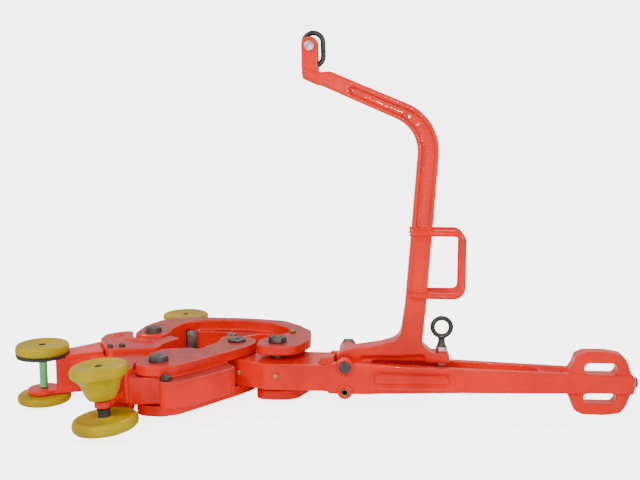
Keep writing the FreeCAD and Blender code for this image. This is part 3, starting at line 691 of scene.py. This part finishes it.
class TONG_OT_carrying_handles(TongPiece, bpy.types.Operator):
    """Round-bar carrying handles, with weld beads where they meet the hanger"""
    bl_idname = "tong.carrying_handles"
    bl_label = "Carrying handles"

    def execute(self, context):
        tree, keys = weld_tree(material_of("red_enamel"))
        hanger_low, hanger_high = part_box("hanger")
        for node, face in (("front_handle", hanger_low.y), ("rear_handle", hanger_high.y)):
            machined_piece(node, 0.0012, 60.0)
            low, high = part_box(node)
            radius = (high.y - low.y) / 2
            for level, label in ((low.z + radius, "low"), (high.z - radius, "high")):
                for side in (1, -1):
                    z = level + side * radius * 0.72
                    path = [(low.x + t * 0.004, face, z) for t in range(17)]
                    seed = bead_path(node + "_seam", path)
                    name = "%s_weld_%s_%s" % (node, label, "top" if side > 0 else "base")
                    bead = grown(name, tree, keys, {"Bead": settings().weld_bead, "Seed": 7 + side},
                                 seed)
                    bead.data.shade_smooth()
                    attach(bead, "hanger", "red_enamel")
        return {"FINISHED"}


class TONG_OT_guards(TongPiece, bpy.types.Operator):
    """Dished yellow finger guards on the three spool handles, with black cups in their middles as
    painted shade, and the black pad under one of them, partly painted shadow
    """
    bl_idname = "tong.guards"
    bl_label = "Finger guards"

    def socket(self, node, mouth, sign, stand):
        """The black cup in the middle of a guard, where its rod is screwed: a black piece painting the
        shade inside the guard's bore.
        """
        cup = [(0.0, -9.5), (BORE - 0.1, -9.5), (BORE - 0.1, 0.4), (BORE - 1.4, 0.2),
               (BORE - 1.8, -5.0), (0.0, -5.0)]
        line = [(r, mouth + sign * h) for r, h in cup]
        # Painted shade: a black cup darkens the middle of the guard, where there is only shade in its
        # bore.
        attach(turned_mesh(node + "_socket", line, stand, sides=48), BODY_OF[node], "black_rubber")

    def execute(self, context):
        for node, rod in (("latch_guard_upper", "latch_grip_rod"),
                          ("latch_guard_lower", "latch_grip_rod"),
                          ("long_jaw_guard_upper", "long_jaw_grip_rod"),
                          ("long_jaw_guard_lower", "long_jaw_grip_rod")):
            low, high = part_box(node)
            radius = (high.x - low.x) / 2 / MM
            thick = (high.z - low.z) / MM
            above = low.z > 0
            rows = [(ROD_FIT, 0), (ROD_FIT, 0), (radius - 14, 0), (radius - 4, 2),
                    (radius, thick * 0.36),
                    (radius - 0.8, thick * 0.74), (radius - 6, thick - 1), (radius - 15, thick),
                    (radius - 27, thick - 3.5), (radius * 0.44, thick - 6), (24, thick - 5.5),
                    (18, thick - 2.5),
                    (14, thick - 2.5), (BORE, thick - 4), (BORE, thick - 4), (BORE, thick - 12),
                    (BORE, thick - 12),
                    (ROD_FIT, thick - 12), (ROD_FIT, thick - 12)]
            base = low.z / MM if above else high.z / MM
            sign = 1 if above else -1
            line = [(r, base + sign * h) for r, h in smooth_line(rows, 5)]
            piece = turned_mesh(node + "_moulding", line, handle_stand(rod), wobble=0.006)
            attach(piece, BODY_OF[node], SLOTS[node], node)
            self.socket(node, base + sign * (thick - 4), sign, handle_stand(rod))
        leaning = handle_stand("lug_grip_rod", settings().handle_lean)
        rows = [(ROD_FIT, 9), (ROD_FIT, 9), (30, 9), (37.5, 10.5), (42, 18), (48, 30), (51.5, 42),
                (55.5, 53), (62, 63),
                (70, 71), (77, 76.5), (79.5, 83), (79.3, 92), (76, 100), (68, 104.5), (58, 104),
                (46, 100),
                (32, 98), (24, 98.5), (18, 101), (14, 101), (BORE, 99.5), (BORE, 99.5), (BORE, 90),
                (BORE, 90),
                (ROD_FIT, 90), (ROD_FIT, 90)]
        piece = turned_mesh("lug_guard_upper_moulding", smooth_line(rows, 5), leaning, wobble=0.008)
        attach(piece, "lug_jaw", SLOTS["lug_guard_upper"], "lug_guard_upper")
        self.socket("lug_guard_upper", 99.5, 1, leaning)
        rows = [(ROD_FIT, -42), (ROD_FIT, -42), (20, -42), (30, -45), (62, -46), (76, -42),
                (86, -46), (90.5, -56),
                (89.5, -67), (82, -75), (68, -77), (50, -72), (26, -70), (18, -72), (ROD_FIT, -71),
                (ROD_FIT, -71)]
        piece = turned_mesh("lug_guard_lower_moulding", smooth_line(rows, 5), leaning, wobble=0.008)
        attach(piece, "lug_jaw", SLOTS["lug_guard_lower"], "lug_guard_lower")
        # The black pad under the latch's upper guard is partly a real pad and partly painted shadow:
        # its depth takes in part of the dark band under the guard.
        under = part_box("latch_guard_upper")[0].z / MM
        rows = [(12, under - 9), (12, under - 9), (70, under - 9), (76, under - 7), (76.5, under - 2),
                (74, under + 2), (12, under + 2), (12, under + 2)]
        pad = turned_mesh("latch_guard_pad_and_shadow", smooth_line(rows, 3), handle_stand("latch_grip_rod"))
        attach(pad, "latch", "black_rubber")
        return {"FINISHED"}


class TONG_OT_grips(TongPiece, bpy.types.Operator):
    """The green sleeve and the black rubber grip on the spool handles' rods"""
    bl_idname = "tong.grips"
    bl_label = "Grips"

    def execute(self, context):
        sleeves = (("latch_grip", "latch_grip_rod", 0.0, -44.0, 44.0, 12.4, 0.5, 0),
                   ("lug_grip", "lug_grip_rod", settings().handle_lean, -41.5, -19.0, 18.6, 1.6, 4))
        for node, rod, lean, base, top, radius, waist, ribs in sleeves:
            line = [(9.2, base), (9.2, base)]
            steps = 48
            for k in range(steps + 1):
                t = k / steps
                r = radius - waist * math.sin(math.pi * t)
                r -= 0.7 * (0.5 - 0.5 * math.cos(2 * math.pi * ribs * t)) if ribs else 0.0
                r -= 1.2 if k in (0, steps) else 0.0
                line.append((r, base + (top - base) * t))
            line += [(9.2, top)]
            piece = turned_mesh(node + "_sleeve", line, handle_stand(rod, lean), sides=64)
            attach(piece, BODY_OF[node], SLOTS[node], node)
        return {"FINISHED"}


class TONG_OT_fasteners(TongPiece, bpy.types.Operator):
    """Pins, bolts, nuts, screws, rods and bushings with chamfered edges"""
    bl_idname = "tong.fasteners"
    bl_label = "Pins, bolts and nuts"

    def execute(self, context):
        for node in FASTENERS:
            piece = machined_piece(node, settings().chamfer)
            if node.endswith("grip_rod"):
                attach(piece, BODY_OF[node], "black_steel")
        return {"FINISHED"}


class TONG_OT_dies(TongPiece, bpy.types.Operator):
    """Toothed dies round the pipe opening"""
    bl_idname = "tong.dies"
    bl_label = "Dies"

    def execute(self, context):
        tree, keys = tooth_tree(material_of("die_steel"))
        for node, angle in DIES.items():
            machined_piece(node, 0.0006)
            low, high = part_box(node)
            rows = settings().tooth_rows
            values = {"Rows": rows, "Row Step": (high.z - low.z) * 0.94 / rows,
                      "Angle": math.radians(angle),
                      "Distance": 0.1022}
            teeth = grown(node + "_teeth", tree, keys, values)
            attach(teeth, BODY_OF[node], "die_steel")
        return {"FINISHED"}


class TONG_OT_levelling_screw(TongPiece, bpy.types.Operator):
    """The levelling eyebolt with its thread"""
    bl_idname = "tong.levelling_screw"
    bl_label = "Levelling screw"

    def execute(self, context):
        machined_piece("level_eyebolt", 0.0012, 40.0)
        low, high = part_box("level_eyebolt")
        stand = Matrix.Translation(((low.x + high.x) / 2, (low.y + high.y) / 2, 0.0))
        eye_low = high.z / MM - 70.0
        rows = [(9, eye_low - 24), (9, eye_low - 24), (13.5, eye_low - 24), (13.5, eye_low - 20),
                (11.6, eye_low - 15), (10.2, eye_low - 6), (11, eye_low + 3), (14.5, eye_low + 8),
                (9, eye_low + 10), (9, eye_low + 10)]
        neck = turned_mesh("level_eyebolt_neck", smooth_line(rows, 5), stand, sides=64)
        attach(neck, "level_screw", "black_steel")
        tree, keys = thread_tree(material_of("black_steel"))
        middle = (low + high) / 2
        pitch = settings().thread_pitch
        height = 0.0145
        values = {"Turns": height / pitch, "Radius": 0.0098, "Height": height,
                  "Base": (middle.x, middle.y, low.z + 0.001), "Ridge": 0.0009}
        thread = grown("level_eyebolt_thread_lower", tree, keys, values)
        attach(thread, "level_screw", "black_steel")
        return {"FINISHED"}


class TONG_OT_suspension_ring(TongPiece, bpy.types.Operator):
    """The oval ring on the hanger's end"""
    bl_idname = "tong.suspension_ring"
    bl_label = "Suspension ring"

    def execute(self, context):
        machined_piece("suspension_ring", 0.0005, 60.0)
        return {"FINISHED"}


class TONG_OT_stage(TongPiece, bpy.types.Operator):
    """A pale floor, soft lights and the camera"""
    bl_idname = "tong.stage"
    bl_label = "Stage"

    def execute(self, context):
        floor_mesh = bpy.data.meshes.new("floor")
        reach = FLOOR_REACH
        under = CAD_BOX[0][2] - FLOOR_DROP
        floor_mesh.from_pydata([(-reach, -reach, under), (reach, -reach, under), (reach, reach, under),
                                (-reach, reach, under)], [], [(0, 1, 2, 3)])
        floor = new_object("floor", floor_mesh)
        floor_mesh.materials.append(material_of("floor"))
        world = bpy.data.worlds.new("studio")
        context.scene.world = world
        world.use_nodes = True
        sky = world.node_tree.nodes["Background"]
        sky.inputs["Color"].default_value = (1.0, 1.0, 1.0, 1.0)
        seen = world.node_tree.nodes.new("ShaderNodeLightPath")
        level = world.node_tree.nodes.new("ShaderNodeMapRange")
        level.inputs["To Min"].default_value = DAYLIGHT
        level.inputs["To Max"].default_value = BACKDROP
        world.node_tree.links.new(seen.outputs["Is Camera Ray"], level.inputs["Value"])
        world.node_tree.links.new(level.outputs[0], sky.inputs["Strength"])
        for name, at, extent, power in LAMPS:
            data = bpy.data.lights.new(name, "AREA")
            data.size = extent
            data.energy = power
            lamp = bpy.data.objects.new(name, data)
            context.scene.collection.objects.link(lamp)
            lamp.location = at
            aim = Vector(LAMP_AIM) - Vector(at)
            lamp.rotation_euler = aim.to_track_quat("-Z", "Y").to_euler()
        data = bpy.data.cameras.new("camera")
        data.sensor_width = CAMERA_SENSOR
        data.lens = CAMERA_LENS
        data.clip_end = 200.0
        camera = bpy.data.objects.new("camera", data)
        context.scene.collection.objects.link(camera)
        camera.location = CAMERA_AT
        camera.rotation_euler = CAMERA_TURN
        context.scene.camera = camera
        return {"FINISHED"}


PIECES = (
    TONG_OT_finishes, TONG_OT_large_castings, TONG_OT_small_castings, TONG_OT_carrying_handles,
    TONG_OT_guards,
    TONG_OT_grips, TONG_OT_fasteners, TONG_OT_dies, TONG_OT_levelling_screw, TONG_OT_suspension_ring,
    TONG_OT_stage,
)


class TONG_PT_panel(bpy.types.Panel):
    """Lists the tong's settings and the operators that make it"""
    bl_idname = "TONG_PT_panel"
    bl_label = "Rig tong"
    bl_space_type = "VIEW_3D"
    bl_region_type = "UI"
    bl_category = "Tong"

    def draw(self, context):
        own = context.scene.tong
        for name in TongSettings.__annotations__:
            self.layout.prop(own, name)
        for piece in PIECES:
            self.layout.operator(piece.bl_idname)


CLASSES = (TongSettings, *PIECES, TONG_PT_panel)


def register():
    for item in CLASSES:
        bpy.utils.register_class(item)
    bpy.types.Scene.tong = bpy.props.PointerProperty(type=TongSettings)


def unregister():
    del bpy.types.Scene.tong
    for item in reversed(CLASSES):
        bpy.utils.unregister_class(item)


def main():
    register()
    bpy.ops.tong.finishes()
    bpy.ops.tong.large_castings()
    bpy.ops.tong.small_castings()
    bpy.ops.tong.carrying_handles()
    bpy.ops.tong.guards()
    bpy.ops.tong.grips()
    bpy.ops.tong.fasteners()
    bpy.ops.tong.dies()
    bpy.ops.tong.levelling_screw()
    bpy.ops.tong.suspension_ring()
    bpy.ops.tong.stage()


if __name__ == "__main__":
    main()
